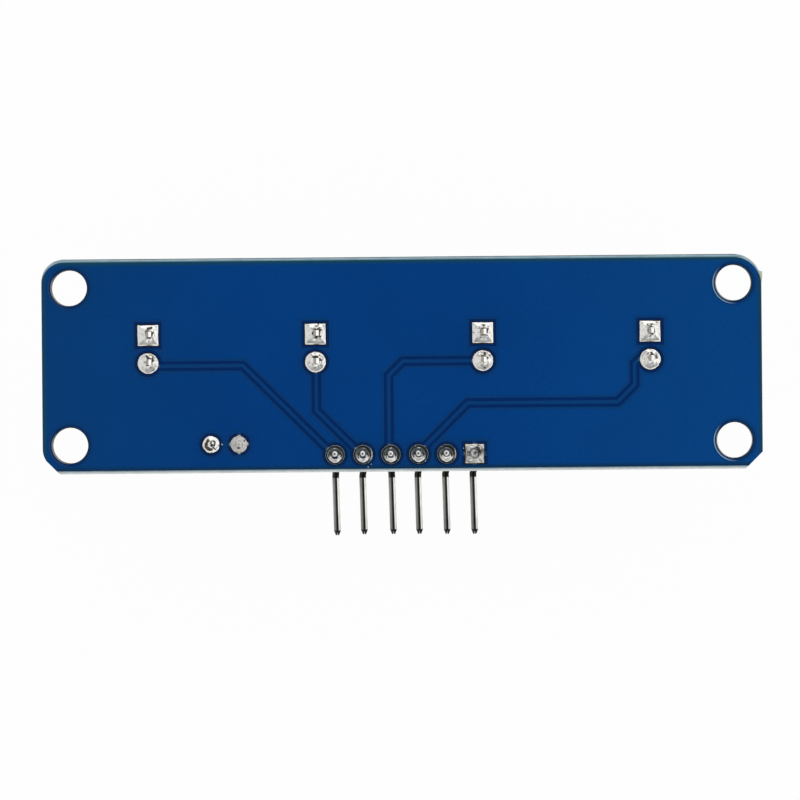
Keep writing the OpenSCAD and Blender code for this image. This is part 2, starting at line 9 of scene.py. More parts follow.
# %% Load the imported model
import json
import math
import random

import bpy
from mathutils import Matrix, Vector


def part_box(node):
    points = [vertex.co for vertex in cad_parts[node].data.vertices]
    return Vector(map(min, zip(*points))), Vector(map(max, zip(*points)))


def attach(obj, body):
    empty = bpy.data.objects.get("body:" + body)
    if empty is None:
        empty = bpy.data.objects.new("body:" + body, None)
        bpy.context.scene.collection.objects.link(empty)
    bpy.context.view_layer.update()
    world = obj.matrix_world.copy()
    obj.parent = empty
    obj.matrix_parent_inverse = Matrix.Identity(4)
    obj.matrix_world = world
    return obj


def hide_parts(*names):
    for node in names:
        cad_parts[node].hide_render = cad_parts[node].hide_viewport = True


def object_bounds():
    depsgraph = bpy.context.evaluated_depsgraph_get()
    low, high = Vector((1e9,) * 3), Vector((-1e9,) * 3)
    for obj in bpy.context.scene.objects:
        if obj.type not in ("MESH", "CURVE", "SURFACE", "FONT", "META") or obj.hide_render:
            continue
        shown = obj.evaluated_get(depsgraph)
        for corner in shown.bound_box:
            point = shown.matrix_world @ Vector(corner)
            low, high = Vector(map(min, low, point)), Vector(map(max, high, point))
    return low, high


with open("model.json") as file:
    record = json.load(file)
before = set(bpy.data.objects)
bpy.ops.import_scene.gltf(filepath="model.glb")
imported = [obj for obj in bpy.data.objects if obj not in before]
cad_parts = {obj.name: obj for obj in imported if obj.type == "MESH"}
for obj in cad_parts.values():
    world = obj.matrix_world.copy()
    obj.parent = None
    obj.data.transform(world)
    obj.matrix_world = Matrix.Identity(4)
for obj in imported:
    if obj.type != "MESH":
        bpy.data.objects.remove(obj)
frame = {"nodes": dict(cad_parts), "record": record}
cad_low, cad_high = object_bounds()
nodes = frame["nodes"]
MM = 0.001
print("CAD box in mm:", [round(v / MM, 2) for v in (*cad_low, *cad_high)])
print("nodes:", len(nodes))

# %% [markdown]
# ## Places to work from
# The landmarks that the finishes need are read from the CAD nodes and from the part's record, so
# they follow the model if a size changes: the laminate's faces, the top of its foil, the reach of
# its mask, the mounting holes and the middle of the pin row.

# %% Landmarks of the board
board_low, board_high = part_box("circuit_board")
foil_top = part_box("copper_back")[1].z
mask_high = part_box("mask_back")[1]
mid_z = (board_low.z + board_high.z) / 2
half_core = (board_high.z - board_low.z) / 2
hole_mount = next(m for m in frame["record"]["mounts"] if m["name"] == "mounting_holes")
hole_x = hole_mount["dims"]["spacing_x_mm"] / 2 * MM
hole_y = hole_mount["dims"]["spacing_y_mm"] / 2 * MM
hole_r = hole_mount["dims"]["hole_r_mm"] * MM
strip_low, strip_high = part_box("header_strip")
row_x = (strip_low.x + strip_high.x) / 2
row_y = (strip_low.y + strip_high.y) / 2
print("laminate faces at", round(board_low.z / MM, 3), "and", round(board_high.z / MM, 3), "mm")
print("pin row's middle at", round(row_x / MM, 2), round(row_y / MM, 2), "mm")

# %% [markdown]
# ## Helpers for modelling
# The operators of Blender act on everything that is selected, and loading the model leaves it
# selected. So each step starts with nothing selected, and picks faces or points by their place.


# %% Helpers for modelling
def enter(mode):
    bpy.ops.object.mode_set(mode=mode)


def select_mesh():
    bpy.ops.mesh.select_all(action="SELECT")


def clear_selection():
    if bpy.context.object is not None and bpy.context.object.mode != "OBJECT":
        enter("OBJECT")
    bpy.ops.object.select_all(action="DESELECT")


def select_only(piece):
    clear_selection()
    piece.select_set(True)
    bpy.context.view_layer.objects.active = piece


def pick(piece, kind, test):
    """Selects the points or faces whose middle passes the test, and stays in edit mode."""
    enter("EDIT")
    bpy.ops.mesh.select_mode(type=kind)
    bpy.ops.mesh.select_all(action="DESELECT")
    enter("OBJECT")
    for part in piece.data.vertices if kind == "VERT" else piece.data.polygons:
        part.select = test(part.co if kind == "VERT" else part.center)
    enter("EDIT")


def move_points(piece, test, step):
    pick(piece, "VERT", test)
    bpy.ops.transform.translate(value=step)
    enter("OBJECT")


def apply_place(piece):
    """Puts the piece's place into its mesh, as a CAD node has it."""
    select_only(piece)
    bpy.ops.object.transform_apply(location=True, rotation=True, scale=True)


def extrude(x, y, z):
    """Extrudes the selected outline and moves its new end."""
    bpy.ops.mesh.extrude_region_move(TRANSFORM_OT_translate={"value": (x, y, z)})


def resize_about(centre, x, y, z):
    bpy.ops.transform.resize(value=(x, y, z), center_override=centre)


def write_values(piece, name, values):
    """Lets each point of the piece carry a value, which materials can read by its name."""
    piece.data.attributes.new(name, "FLOAT", "POINT").data.foreach_set("value", values)


def smooth_with_edges(piece, degrees):
    select_only(piece)
    bpy.ops.object.shade_smooth_by_angle(angle=math.radians(degrees))


def join_all(pieces, name):
    clear_selection()
    for piece in pieces:
        piece.select_set(True)
    bpy.context.view_layer.objects.active = pieces[0]
    bpy.ops.object.join()
    joined = bpy.context.object
    joined.name = joined.data.name = name
    return joined


def close_and_turn_out(piece):
    """Merges doubles, closes what is open and points every face outwards."""
    select_only(piece)
    enter("EDIT")
    bpy.ops.mesh.select_mode(type="VERT")
    select_mesh()
    bpy.ops.mesh.remove_doubles(threshold=1e-7)
    bpy.ops.mesh.select_all(action="DESELECT")
    bpy.ops.mesh.select_non_manifold()
    bpy.ops.mesh.fill_holes(sides=0)
    select_mesh()
    bpy.ops.mesh.normals_make_consistent(inside=False)
    enter("OBJECT")


# %% [markdown]
# ## A shared surface effect
# Nothing real has one even colour. A small group of noise nodes gives each finish a slow change of
# tone, a fine grain and a roughness that wanders between two values. It is built once, and every
# material places it with numbers of its own.


# %% Node group: grain
def build_grain_group():
    group = bpy.data.node_groups.new("surface grain", "ShaderNodeTree")
    sockets = group.interface.new_socket
    for label, value in (("Broad Scale", 60.0), ("Fine Scale", 900.0), ("Rough Low", 0.2),
                         ("Rough High", 0.4), ("Tone Low", 0.9), ("Tone High", 1.1)):
        sockets(name=label, in_out="INPUT", socket_type="NodeSocketFloat").default_value = value
    for label in ("Tone", "Roughness", "Fine", "Broad"):
        sockets(name=label, in_out="OUTPUT", socket_type="NodeSocketFloat")
    n, link = group.nodes, group.links.new
    given, out = n.new("NodeGroupInput"), n.new("NodeGroupOutput")
    place = n.new("ShaderNodeTexCoord")
    broad, fine = n.new("ShaderNodeTexNoise"), n.new("ShaderNodeTexNoise")
    for noise, scale, detail in ((broad, "Broad Scale", 3.0), (fine, "Fine Scale", 4.0)):
        link(place.outputs["Object"], noise.inputs["Vector"])
        link(given.outputs[scale], noise.inputs["Scale"])
        noise.inputs["Detail"].default_value = detail
        noise.inputs["Roughness"].default_value = 0.55
    for source, low, high, result in ((broad, "Tone Low", "Tone High", "Tone"),
                                      (fine, "Rough Low", "Rough High", "Roughness")):
        spread = n.new("ShaderNodeMapRange")
        spread.inputs["From Min"].default_value = 0.3
        spread.inputs["From Max"].default_value = 0.7
        link(source.outputs["Fac"], spread.inputs["Value"])
        link(given.outputs[low], spread.inputs["To Min"])
        link(given.outputs[high], spread.inputs["To Max"])
        link(spread.outputs["Result"], out.inputs[result])
    link(fine.outputs["Fac"], out.inputs["Fine"])
    link(broad.outputs["Fac"], out.inputs["Broad"])
    return group


grain_group = build_grain_group()
print("group", grain_group.name, "has", len(grain_group.nodes), "nodes")


# %% Helpers for materials
def set_inputs(node, **values):
    """Gives values to a node's inputs; broad_scale stands for the one labelled Broad Scale."""
    for label, value in values.items():
        node.inputs[label.replace("_", " ").title()].default_value = value


class Nodes:
    """A node tree, with short ways to add the nodes that feed its shader."""

    def __init__(self, tree):
        self.tree = tree
        self.nodes = tree.nodes

    def add(self, kind, **values):
        node = self.nodes.new("ShaderNode" + kind)
        set_inputs(node, **values)
        return node

    def link(self, source, target):
        self.tree.links.new(source, target)

    def math(self, operation, first, second=None):
        node = self.add("Math")
        node.operation = operation
        for socket, value in zip(node.inputs, (first, second)):
            if value is None:
                continue
            if isinstance(value, (int, float)):
                socket.default_value = value
            else:
                self.link(value, socket)
        return node.outputs[0]

    def times(self, first, second):
        return self.math("MULTIPLY", first, second)

    def distance(self, value, middle):
        return self.math("ABSOLUTE", self.math("SUBTRACT", value, middle))

    def ramp(self, value, start, end, low=0.0, high=1.0):
        """Goes from low at start to high at end in a soft step; start may be the larger one."""
        node = self.add("MapRange", from_min=start, from_max=end, to_min=low, to_max=high)
        node.interpolation_type = "SMOOTHSTEP"
        self.link(value, node.inputs["Value"])
        return node.outputs["Result"]

    def show_mix(self, output_kind, amount, first, second):
        """Ends the tree in a mix of two shaders."""
        mix = self.add("MixShader")
        for source, socket in zip((amount, first.outputs[0], second.outputs[0]), mix.inputs):
            self.link(source, socket)
        self.link(mix.outputs[0], self.add(output_kind).inputs[0])


class Finish(Nodes):
    """A material with its shader. Colours are tuples or the outputs of other nodes."""

    def __init__(self, name, metallic=0.0, specular=0.5):
        self.material = bpy.data.materials.new(name)
        self.material.use_nodes = True
        super().__init__(self.material.node_tree)
        self.shader = next(n for n in self.nodes if n.type == "BSDF_PRINCIPLED")
        self.shader.inputs["Metallic"].default_value = metallic
        self.shader.inputs["Specular IOR Level"].default_value = specular
        self.place = self.add("TexCoord").outputs["Object"]

    def grain(self, **values):
        box = self.add("Group")
        box.node_tree = grain_group
        set_inputs(box, **values)
        return box.outputs

    def axes(self):
        split = self.add("SeparateXYZ")
        self.link(self.place, split.inputs[0])
        return split.outputs

    def attribute(self, name):
        """A value that a piece's points carry; 0 where a piece has none."""
        node = self.add("Attribute")
        node.attribute_name = name
        return node.outputs["Fac"]

    def mix(self, amount, first, second):
        """Between two colours."""
        node = self.add("Mix")
        node.data_type = "RGBA"
        sockets = node.inputs[0], node.inputs[6], node.inputs[7]
        for socket, value in zip(sockets, (amount, first, second)):
            if isinstance(value, bpy.types.NodeSocket):
                self.link(value, socket)
            elif isinstance(value, tuple):
                socket.default_value = (*value, 1.0)
            else:
                socket.default_value = value
        return node.outputs[2]

    def blots(self, scale, strength):
        """Noise round 0, for stains that end in blots."""
        noise = self.add("TexNoise", scale=scale, detail=2.0)
        self.link(self.place, noise.inputs["Vector"])
        return self.times(self.math("SUBTRACT", noise.outputs["Fac"], 0.5), strength)

    def round_hole(self, x, y):
        """How far the nearest mounting hole's middle is, and how far right and a bit up of it."""
        parts, signed = [], []
        for value, middle in ((x, hole_x), (y, hole_y)):
            side = self.times(self.math("SIGN", value), middle)
            signed.append(self.math("SUBTRACT", value, side))
            parts.append(self.math("POWER", signed[-1], 2.0))
        right_and_up = self.math("ADD", signed[0], self.times(signed[1], 0.45))
        return self.math("SQRT", self.math("ADD", *parts)), right_and_up

    def toned(self, colour, tone):
        """Multiplies a colour by a grey tone."""
        node = self.add("VectorMath")
        node.operation = "SCALE"
        if isinstance(colour, tuple):
            node.inputs[0].default_value = colour
        else:
            self.link(colour, node.inputs[0])
        self.link(tone, node.inputs["Scale"])
        return node.outputs[0]

    def bump(self, height, depth, strength=1.0):
        node = self.add("Bump", distance=depth, strength=strength)
        self.link(height, node.inputs["Height"])
        self.link(node.outputs[0], self.shader.inputs["Normal"])

    def finish(self, colour, roughness):
        self.link(colour, self.shader.inputs["Base Color"])
        self.link(roughness, self.shader.inputs["Roughness"])
        return self.material


def srgb(r, g, b):
    """A colour as it looks on screen, turned into the linear values that shaders use."""
    def linear(v):
        v = v / 255
        return v / 12.92 if v <= 0.04045 else ((v + 0.055) / 1.055) ** 2.4
    return tuple(linear(v) for v in (r, g, b))


# %% [markdown]
# ## Solder mask
# The mask is a thin coat of blue lacquer. It looks lighter over copper and darker where it sinks
# into the gaps between copper shapes, which is what draws the tracks. The height above the
# laminate therefore picks the colour: gap, thin shoulder or full field. Beyond the copper, near the
# board's ends and sides, the laminate shines through and makes the blue greyer.

# %% Solder mask
mask = Finish("blue solder mask", specular=0.16)
x, y, z = mask.axes()
height = mask.math("SUBTRACT", mask.distance(z, mid_z), half_core)
out_of_gap = mask.ramp(height, 0.03 * MM, 0.045 * MM)
on_field = mask.ramp(height, 0.051 * MM, 0.059 * MM)
grain = mask.grain(broad_scale=90.0, fine_scale=2500.0, rough_low=0.24, rough_high=0.33,
                   tone_low=0.95, tone_high=1.05)
# The field's blue changes a little from the left end to the middle, and on to the right end
field = mask.mix(mask.ramp(x, -33 * MM, -12 * MM), srgb(3, 66, 129), srgb(0, 66, 138))
field = mask.mix(mask.ramp(x, 2 * MM, 33 * MM), field, srgb(4, 73, 142))
shoulder = mask.mix(0.6, field, srgb(12, 63, 116))
coat = mask.mix(on_field, shoulder, field)
coat = mask.mix(out_of_gap, srgb(0, 46, 108), coat)
# A band and a thin line run along the ends, and others along the near and the far side
from_end = mask.math("SUBTRACT", mask_high.x, mask.math("ABSOLUTE", x))
from_side = mask.math("SUBTRACT", mask_high.y, mask.math("ABSOLUTE", y))
far_half = mask.ramp(y, -1 * MM, 1 * MM)
side_band = mask.mix(far_half, srgb(9, 59, 106), srgb(17, 72, 110))
side_line = mask.mix(far_half, srgb(12, 48, 78), srgb(34, 82, 98))
coat = mask.mix(mask.ramp(from_end, 0.42 * MM, 0.34 * MM), coat, srgb(20, 70, 108))
coat = mask.mix(mask.ramp(from_end, 0.14 * MM, 0.02 * MM), coat, srgb(44, 80, 106))
coat = mask.mix(mask.ramp(from_side, 0.45 * MM, 0.2 * MM), coat, side_band)
coat = mask.mix(mask.ramp(from_side, 0.13 * MM, 0.06 * MM), coat, side_line)
# The mask steps down over the foil's edge round each mounting hole, and a highlight is painted there
# as an arc on the hole's left side. The painted arcs are bright in the board's right part only.
to_hole, hole_side = mask.round_hole(x, y)
painted_arc_highlight = mask.times(mask.ramp(to_hole, hole_r + 0.2 * MM, hole_r + 0.24 * MM),
                 mask.ramp(to_hole, hole_r + 0.32 * MM, hole_r + 0.28 * MM))
painted_arc_highlight = mask.times(painted_arc_highlight, mask.ramp(hole_side, -0.4 * MM, -1.8 * MM))
painted_arc_highlight = mask.times(painted_arc_highlight, mask.ramp(x, 10 * MM, 20 * MM, 0.08, 0.95))
coat = mask.mix(painted_arc_highlight, coat, srgb(158, 196, 218))
faint = mask.times(mask.ramp(to_hole, hole_r + 0.42 * MM, hole_r + 0.3 * MM),
                   mask.ramp(hole_side, -1.2 * MM, 1.0 * MM, 0.0, 0.55))
faint = mask.times(faint, mask.math("SUBTRACT", 1.0, out_of_gap))
coat = mask.mix(faint, coat, srgb(10, 62, 112))
mask.bump(grain["Fine"], 0.004 * MM, 0.25)
mask_material = mask.finish(mask.toned(coat, grain["Tone"]), grain["Roughness"])
print("mask reaches", [round(v / MM, 2) for v in mask_high], "mm")

# %% [markdown]
# ## Laminate
# The board's core is glass cloth set in epoxy. Its sawn and routed edges are rough: the bevel that
# the score groove leaves is pale with crushed glass, and the middle of the edge keeps the tan of
# the resin. Inside the pads' openings little light gets out, so the thin rings there look dark.

# %% Laminate
core = Finish("glass laminate", specular=0.3)
x, y, z = core.axes()
grain = core.grain(broad_scale=700.0, fine_scale=5000.0, rough_low=0.45, rough_high=0.75,
                   tone_low=0.86, tone_high=1.1)
weave = core.add("TexWave", scale=1300.0, distortion=3.0, detail_scale=2.0)
weave.bands_direction = "Z"
core.link(core.place, weave.inputs["Vector"])
from_mid = core.distance(z, mid_z)
across = core.math("ABSOLUTE", y)
along = core.math("ABSOLUTE", x)
tan = core.mix(weave.outputs["Fac"], srgb(176, 168, 128), srgb(150, 141, 102))
# The bevels of the long edges: the near one painted lit and the far one painted in shade, with a
# painted shadow line along the far one's outer edge
bevel = core.ramp(across, mask_high.y - 0.02 * MM, mask_high.y + 0.02 * MM)
outward = core.ramp(across, mask_high.y, board_high.y - 0.06 * MM)
lit_near_bevel = core.mix(outward, srgb(120, 148, 164), srgb(222, 228, 228))
shaded_far_bevel = core.mix(outward, srgb(96, 132, 146), srgb(168, 198, 212))
far_edge_shadow = core.ramp(across, board_high.y - 0.1 * MM, board_high.y - 0.06 * MM)
shaded_far_bevel = core.mix(far_edge_shadow, shaded_far_bevel, srgb(84, 100, 108))
bevel_colour = core.mix(core.ramp(y, -1 * MM, 1 * MM), lit_near_bevel, shaded_far_bevel)
near_face = core.ramp(from_mid, 0.18 * MM, 0.32 * MM)
edge = core.mix(core.times(bevel, near_face), tan, bevel_colour)
# What the mask leaves bare on the two faces: rings in the pads' openings, rings round the mounting
# holes and the corners. The holes' rims are painted pale on their left and lower side as a highlight
# and dark round the rest; the corners are pale, bare laminate with a painted highlight
on_face = core.ramp(from_mid, half_core - 0.03 * MM, half_core - 0.01 * MM)
inside = core.ramp(across, mask_high.y - 0.3 * MM, mask_high.y - 0.2 * MM)
inside = core.math("SUBTRACT", 1.0, inside)
to_hole, hole_side = core.round_hole(x, y)
at_hole = core.ramp(to_hole, hole_r + 0.6 * MM, hole_r + 0.4 * MM)
# The pale left and lower side of each hole's rim is a painted highlight
lit_rim_side = core.ramp(hole_side, -0.6 * MM, -1.6 * MM)
bore = core.ramp(to_hole, hole_r + 0.08 * MM, hole_r + 0.03 * MM)
edge = core.mix(bore, edge, srgb(96, 100, 88))
rim_tone = core.mix(lit_rim_side, srgb(22, 48, 66), srgb(150, 150, 136))
face_tone = core.mix(at_hole, srgb(8, 14, 34), rim_tone)
# The bare corners are pale: the laminate's own colour with a painted highlight
at_corner = core.times(core.ramp(along, hole_x + 0.2 * MM, hole_x + 0.4 * MM),
                       core.ramp(to_hole, hole_r + 0.6 * MM, hole_r + 0.65 * MM))
outermost = core.ramp(along, board_high.x - 0.35 * MM, board_high.x - 0.15 * MM)
corner_bare_and_highlight = core.mix(outermost, srgb(182, 206, 214), srgb(206, 207, 186))
face_tone = core.mix(at_corner, face_tone, corner_bare_and_highlight)
inside = core.math("MAXIMUM", inside, at_corner)
shown = core.mix(core.times(on_face, inside), edge, face_tone)
core.bump(grain["Fine"], 0.02 * MM, 0.6)
core_material = core.finish(core.toned(shown, grain["Tone"]), grain["Roughness"])
print("laminate's finish has", len(core.nodes), "nodes")

# %% [markdown]
# ## Metals
# Solder and tin are bright but never perfect mirrors. A broad noise bends their reflections a
# little, and a fine one varies the polish. The pins are drawn wire, so their noise is coarser and
# bends less. Stains, painted highlights and painted shade follow values that the points of a piece
# carry; a lead's painted shade follows which way its faces turn.


# %% Metals
def metal(name, colour, rough_low, rough_high, broad=1500.0, dent=0.02, dark=None, metallic=1.0):
    made = Finish(name, metallic=metallic)
    grain = made.grain(broad_scale=broad, fine_scale=broad * 4, rough_low=rough_low,
                       rough_high=rough_high, tone_low=0.88, tone_high=1.06)
    shade = made.toned(colour, grain["Tone"])
    if dark:
        shade = dark(made, shade)
    made.bump(grain["Broad"], dent * MM, 0.5)
    return made.finish(shade, grain["Roughness"])


def with_flux_and_shade(made, shade):
    """Round a lead the solder is stained by burnt flux, in blots that thin out away from it; the
    points' values add painted shade and painted dark reflections to the same darkening.
    """
    stain_and_shade_level = made.math("ADD", made.attribute("stain_and_shade"), made.blots(3600.0, 2.2))
    shade = made.mix(made.ramp(stain_and_shade_level, 0.2, 0.55), shade, srgb(178, 172, 160))
    return made.mix(made.ramp(stain_and_shade_level, 0.42, 0.6), shade, srgb(74, 68, 60))


def with_dross_and_shade(made, shade):
    """Hand-made joints are duller, and dark where dross froze on them; the points' values add
    painted shade to the same darkening.
    """
    stain_and_shade_level = made.math("ADD", made.attribute("stain_and_shade"), made.blots(4200.0, 1.0))
    shade = made.mix(made.ramp(stain_and_shade_level, 0.05, 0.3), shade, srgb(192, 190, 186))
    return made.mix(made.ramp(stain_and_shade_level, 0.4, 0.6), shade, srgb(98, 97, 93))


def painted_side_shade(made, shade):
    """Every face of a lead that doesn't turn right is painted a duller grey as shade; faces that
    turn right keep the bright tin.
    """
    facing = made.add("SeparateXYZ")
    made.link(made.add("NewGeometry").outputs["True Normal"], facing.inputs[0])
    return made.mix(made.ramp(facing.outputs["X"], 0.0, 0.1), srgb(166, 160, 150), shade)


def painted_pin_light(made, shade):
    """Paints a bright highlight along a pin's right side, shade elsewhere, and dark shade at its
    ends.

    Its points carry how far across it they are, from -1 on the left to 1 on the right, and how
    far from its tip.
    """
    _, y, z = made.axes()
    sideways = made.attribute("across")
    from_tip = made.attribute("from_tip")
    from_board = made.math("SUBTRACT", board_low.y, y)
    # Painted reflection: grey on the left, darker in the middle and a bright painted highlight along
    # the right edge; a painted shadow on the left near the board, and darker towards the tip
    tone = made.math("ADD", made.ramp(sideways, -0.95, 0.2, 0.47, 0.28),
                     made.ramp(sideways, 0.36, 0.46, 0.0, 0.85))
    left_shadow = made.times(made.ramp(sideways, -0.6, -0.85),
                            made.ramp(from_board, 1.9 * MM, 0.7 * MM, 0.0, 0.45))
    tone = made.times(tone, made.math("SUBTRACT", 1.0, left_shadow))
    tone = made.times(tone, made.ramp(from_tip, 0.6 * MM, 3.0 * MM, 0.78, 1.0))
    shade = made.toned(shade, tone)
    # A dark band is painted on the run next to the board as its shadow, and a dark tip with a pale
    # notch as painted shade and a painted highlight
    on_run = made.ramp(z, -4.0 * MM, -4.3 * MM)
    board_shadow = made.ramp(from_board, 0.66 * MM, 0.54 * MM)
    dark_tip_shade = made.ramp(from_tip, 0.5 * MM, 0.42 * MM)
    dark = made.times(made.math("MAXIMUM", board_shadow, dark_tip_shade), on_run)
    pin_shade_colour = made.mix(made.ramp(sideways, 0.3, 0.5), srgb(62, 58, 54), srgb(26, 25, 23))
    shade = made.mix(dark, shade, pin_shade_colour)
    slant = made.times(made.math("ABSOLUTE", sideways), 1.2 * MM)
    tip_highlight = made.ramp(made.math("ADD", slant, from_tip), 0.32 * MM, 0.24 * MM)
    return made.mix(tip_highlight, shade, srgb(236, 234, 228))


BRIGHT_TIN = (0.78, 0.78, 0.76)
solder_material = metal("bright solder", BRIGHT_TIN, 0.14, 0.28, broad=2600.0, dent=0.03,
                        dark=with_flux_and_shade)
dull_solder_material = metal("dull solder", (0.72, 0.71, 0.68), 0.14, 0.28, broad=3400.0,
                             dent=0.04, dark=with_dross_and_shade, metallic=0.92)
matte_solder_material = metal("matte solder", (0.66, 0.65, 0.61), 0.34, 0.5, broad=3000.0,
                              dent=0.06, dark=with_dross_and_shade, metallic=0.6)
# The tin ring round the header's mounds is darkened and tinted blue as a painted reflection of the
# board
reflection_tinted_tin_material = metal("tin with painted blue reflection", (0.36, 0.48, 0.56), 0.03, 0.07, broad=1800.0, dent=0.003)
tin_material = metal("tinned foil", BRIGHT_TIN, 0.16, 0.3)
lead_material = metal("tinned lead", (0.80, 0.79, 0.76), 0.12, 0.22, broad=2500.0, dark=painted_side_shade)
chip_end_material = metal("chip end tin", (0.76, 0.76, 0.75), 0.25, 0.4)
can_material = metal("drawn aluminium", (0.82, 0.83, 0.84), 0.28, 0.4, broad=900.0, dent=0.005)
pin_material = metal("drawn pin", (0.70, 0.69, 0.66), 0.1, 0.2, broad=1400.0, dent=0.008,
                     dark=painted_pin_light)
print("materials so far:", len(bpy.data.materials))

# %% [markdown]
# ## Plastics, epoxy and rubber
# The lamps are cast in milky epoxy: light goes a little way in before it comes out again, which
# subsurface scattering gives. The sleeve is shrunk film with a soft gloss, and the header's strip
# is moulded with a fine, even grain.


# %% Plastics, epoxy and rubber
def moulded(name, colour, rough_low, rough_high, depth=0.003, specular=0.5, glow=0.0):
    made = Finish(name, specular=specular)
    grain = made.grain(broad_scale=250.0, fine_scale=3500.0, rough_low=rough_low,
                       rough_high=rough_high, tone_low=0.9, tone_high=1.08)
    if glow:
        set_inputs(made.shader, subsurface_weight=glow, subsurface_radius=(1.0, 1.0, 1.0),
                   subsurface_scale=0.6 * MM, coat_weight=0.4, coat_roughness=0.08)
    made.bump(grain["Fine"], depth * MM, 0.3)
    return made.finish(made.toned(colour, grain["Tone"]), grain["Roughness"])


lens_colours = [srgb(206, 22, 20), srgb(232, 178, 20), srgb(22, 160, 54), srgb(20, 70, 205)]
lens_materials = [
    moulded(f"diffused epoxy {k + 1}", colour, 0.14, 0.22, 0.002, glow=0.35)
    for k, colour in enumerate(lens_colours)
]
strip_material = moulded("header plastic", srgb(24, 24, 26), 0.42, 0.6, 0.01, specular=0.4)
sleeve_material = moulded("shrunk sleeve", srgb(24, 26, 34), 0.2, 0.34, 0.004)
bung_material = moulded("rubber bung", srgb(40, 40, 40), 0.7, 0.9, 0.01, specular=0.2)
chip_material = moulded("resistor coat", srgb(20, 20, 22), 0.35, 0.5, 0.004)
print("materials:", len(bpy.data.materials))


# %% Dress the CAD nodes
def dress(node_name, material):
    node = nodes[node_name]
    node.data.materials.clear()
    node.data.materials.append(material)


dress("circuit_board", core_material)
for name in ("mask_back", "mask_front"):
    dress(name, mask_material)
for name in ("copper_back", "copper_front", "plated_holes"):
    dress(name, tin_material)
for k in range(1, 5):
    dress(f"led_lens_{k}", lens_materials[k - 1])
    dress(f"led_anode_{k}", lead_material)
    dress(f"led_cathode_{k}", lead_material)
    dress(f"resistor_body_{k}", chip_material)
    dress(f"resistor_ends_{k}", chip_end_material)
for name, material in (("capacitor_can", can_material), ("capacitor_sleeve", sleeve_material),
                       ("capacitor_bung", bung_material), ("header_strip", strip_material),
                       ("capacitor_lead_positive", lead_material),
                       ("capacitor_lead_negative", lead_material),
                       ("resistor_solder", solder_material)):
    dress(name, material)
print("the mask wears", nodes["mask_back"].data.materials[0].name)

# %% [markdown]
# ## Solder joints
# A joint starts as a pool on its pad. Surface tension pulls it up the lead in a hollow curve, and
# rolls its rim over the pad's edge. Each one is built as a stack of rings: a flat outline is
# extruded and scaled again and again, and a little noise at the end makes no two alike.


# %% Build one joint
# A header joint's mound stands in a flat ring of tin. These are the shares of the pad's size at
# the mound's foot, at its first ring and where its flank ends.
MOUND_FOOT, MOUND_START, MOUND_TOP = 0.74, 0.73, 0.42
# How far a sagging mound leans back up the board, for each mm that its foot starts further down
LEAN_BACK = 3.3
# How far aside the top of a joint may stray, in mm
STRAY = 0.03


def flank(share, new_share, low=MOUND_TOP):
    """How much of the way from a mound's foot down to the share called low lies in this step."""
    start, end = (min(MOUND_FOOT, max(low, v)) for v in (share, new_share))
    return (start - end) / (MOUND_FOOT - low)


def solder_joint(name, centre, size, square, rings, lean=(0.0, 0.0), slim=1.0, sag=0.0, seed=0):
    """Rings are (share of the pad's size, height in mm), from the pad up.

    A third number says how far a square joint turns round there. The rings drift by lean, in
    mm, from the first to the last, and get slimmer in X by slim. A mound that sags starts that far
    down the board and rises back up past the pad's middle.
    """
    rng = random.Random(seed)
    clear_selection()
    x, y = centre
    if square:
        bpy.ops.mesh.primitive_plane_add(size=size, location=(x, y, foil_top))
    else:
        bpy.ops.mesh.primitive_circle_add(vertices=48, radius=size / 2, fill_type="NGON",
                                          location=(x, y, foil_top))
    piece = bpy.context.object
    piece.name = piece.data.name = name
    apply_place(piece)
    enter("EDIT")
    select_mesh()
    if square:
        bpy.ops.mesh.bevel(offset=size * 0.04, segments=3, affect="VERTICES")
        select_mesh()
        bpy.ops.mesh.delete(type="ONLY_FACE")
        select_mesh()
        bpy.ops.mesh.subdivide(number_cuts=3)
        select_mesh()
        bpy.ops.mesh.edge_face_add()
    share, level, slimness = 1.0, 0.0, 1.0
    top = rings[-1][1]
    for new_share, new_level, *roundness in rings:
        rise = new_level - level
        step_x = (lean[0] + rng.uniform(-STRAY, STRAY)) * rise / top
        step_y = (lean[1] + rng.uniform(-STRAY, STRAY)) * rise / top
        if sag:
            at_foot = share >= MOUND_FOOT > new_share
            step_y += -sag if at_foot else LEAN_BACK * sag * flank(share, new_share)
        extrude(step_x * MM, step_y * MM, rise * MM)
        x, y = x + step_x * MM, y + step_y * MM
        scale = new_share / share
        past_foot = flank(MOUND_FOOT, new_share, MOUND_START)
        new_slimness = 1.0 - (1.0 - slim) * past_foot * (1.0 - flank(MOUND_START, new_share))
        resize_about((x, y, 0.0), scale * new_slimness / slimness, scale, 1.0)
        if square and roundness:
            bpy.ops.transform.tosphere(value=roundness[0])
        share, level, slimness = new_share, new_level, new_slimness
    enter("OBJECT")
    return piece


# %% Rings of the joints
# The rim of a lamp's joint is rolled over and bright, its side is a shallow hollow slope, and a
# low collar climbs the lead, whose cut end stays bare.
LAMP_RINGS = [(1.0, 0.02), (0.97, 0.044), (0.93, 0.075), (0.88, 0.105), (0.82, 0.125),
              (0.74, 0.15, 0.1), (0.63, 0.20, 0.3), (0.53, 0.25, 0.6), (0.44, 0.31, 0.85),
              (0.37, 0.37, 1.0), (0.32, 0.41, 1.0), (0.24, 0.43, 1.0)]
# The capacitor's joints are low domes, with a knob of solder over the lead's end.
CAP_RINGS = [(1.0, 0.03), (0.97, 0.05), (0.93, 0.077), (0.87, 0.115), (0.78, 0.165), (0.66, 0.235),
             (0.55, 0.30), (0.44, 0.37), (0.37, 0.45), (0.37, 0.7), (0.41, 0.76), (0.42, 0.78),
             (0.37, 0.82), (0.28, 0.88), (0.18, 0.94), (0.08, 0.98)]
